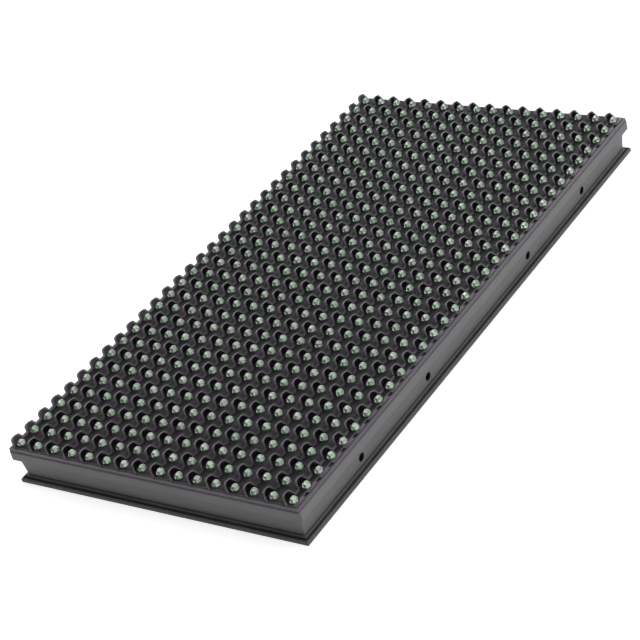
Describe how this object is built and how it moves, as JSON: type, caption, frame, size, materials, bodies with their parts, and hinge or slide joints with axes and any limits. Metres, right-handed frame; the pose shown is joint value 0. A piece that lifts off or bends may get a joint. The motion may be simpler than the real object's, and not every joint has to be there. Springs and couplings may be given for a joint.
{
  "type": "led dot matrix display module",
  "caption": "Flat outdoor dot matrix display module: a grid of domed lights behind a mask with a rain visor over each, in a shallow open-backed case with a rubber seal.",
  "frame": {"origin": "middle of the seal's resting plane at the back of the module", "axes": "+Z out of the display's face, +X along its long side, +Y up the display, the side of each light where its visor is"},
  "size_m": [0.32, 0.16, 0.0233],
  "materials": {
    "visor_plastic": "fine matte moulded, UV-stable black-grey",
    "lens_epoxy": "diffused pale green epoxy, glossy",
    "sealant": "poured silicone, satin",
    "board": "green solder mask on glass fibre board",
    "case_plastic": "fine matte moulded, dark grey",
    "seal_rubber": "moulded rubber, satin",
    "insert_brass": "turned, knurled outside",
    "screw_steel": "zinc plated",
    "socket_plastic": "glass-filled moulded black",
    "pin_gold": "thin gold plating",
    "power_plastic": "natural nylon",
    "tin": "tin plated",
    "chip_plastic": "fine-blasted black epoxy",
    "can_sleeve": "shrunk sleeve, dark blue",
    "bung_rubber": "black rubber",
    "ceramic": "fired ceramic, tan"
  },
  "bodies": {
    "root": {"face_mask": "visor_plastic", "leds": "lens_epoxy", "sealant": "sealant", "circuit_board": "board", "case": "case_plastic", "seal_ring": "seal_rubber", "threaded_inserts": "insert_brass", "mask_screws": "screw_steel", "input_socket": "socket_plastic", "output_socket": "socket_plastic", "input_pins": "pin_gold", "output_pins": "pin_gold", "power_socket": "power_plastic", "power_blades": "tin", "driver_chips": "chip_plastic", "logic_chips": "chip_plastic", "buffer_chips": "chip_plastic", "row_switches": "chip_plastic", "chip_legs": "tin", "capacitor_cans": "can_sleeve", "capacitor_bungs": "bung_rubber", "chip_capacitors": "ceramic", "resistor_packs": "chip_plastic"}
  },
  "joints": []
}
